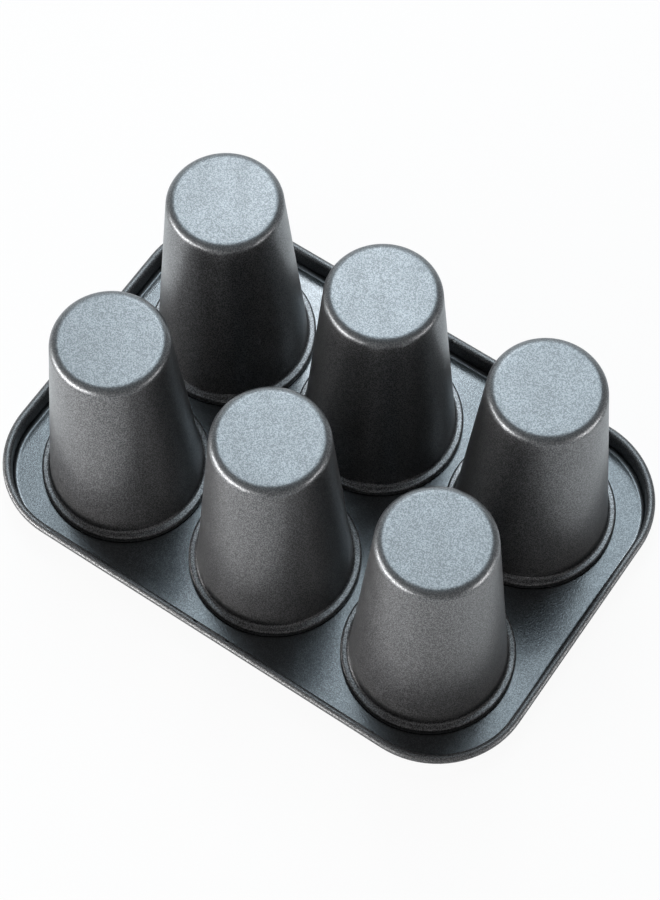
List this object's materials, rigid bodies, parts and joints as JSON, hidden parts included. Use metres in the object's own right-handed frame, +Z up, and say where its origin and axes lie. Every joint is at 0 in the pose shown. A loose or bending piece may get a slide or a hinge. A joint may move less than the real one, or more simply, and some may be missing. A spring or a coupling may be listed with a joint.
{
  "type": "jumbo muffin pan",
  "caption": "Baking pan of tall tapered non-stick cups, each crimped into a flat rectangular steel tray with rounded corners and a wired rolled rim.",
  "frame": {"origin": "middle of the footprint, on the surface that the flat face of the tray lies on", "axes": "+X along the long side of the tray, +Y across it, +Z up, with the cup bases up and the mouths down as in the picture; for baking the pan is turned half a turn about X"},
  "size_m": [0.289, 0.2016, 0.126],
  "materials": {
    "tray_coating": "satin grey-black non-stick coating with a fine speckle, on sheet steel",
    "cup_coating": "satin grey-black non-stick coating with a fine speckle, on drawn sheet steel",
    "wire_steel": "bare drawn steel wire"
  },
  "bodies": {
    "root": {"tray": "tray_coating", "cup_1": "cup_coating", "cup_2": "cup_coating", "cup_3": "cup_coating", "cup_4": "cup_coating", "cup_5": "cup_coating", "cup_6": "cup_coating", "rim_wire": "wire_steel"}
  },
  "joints": []
}
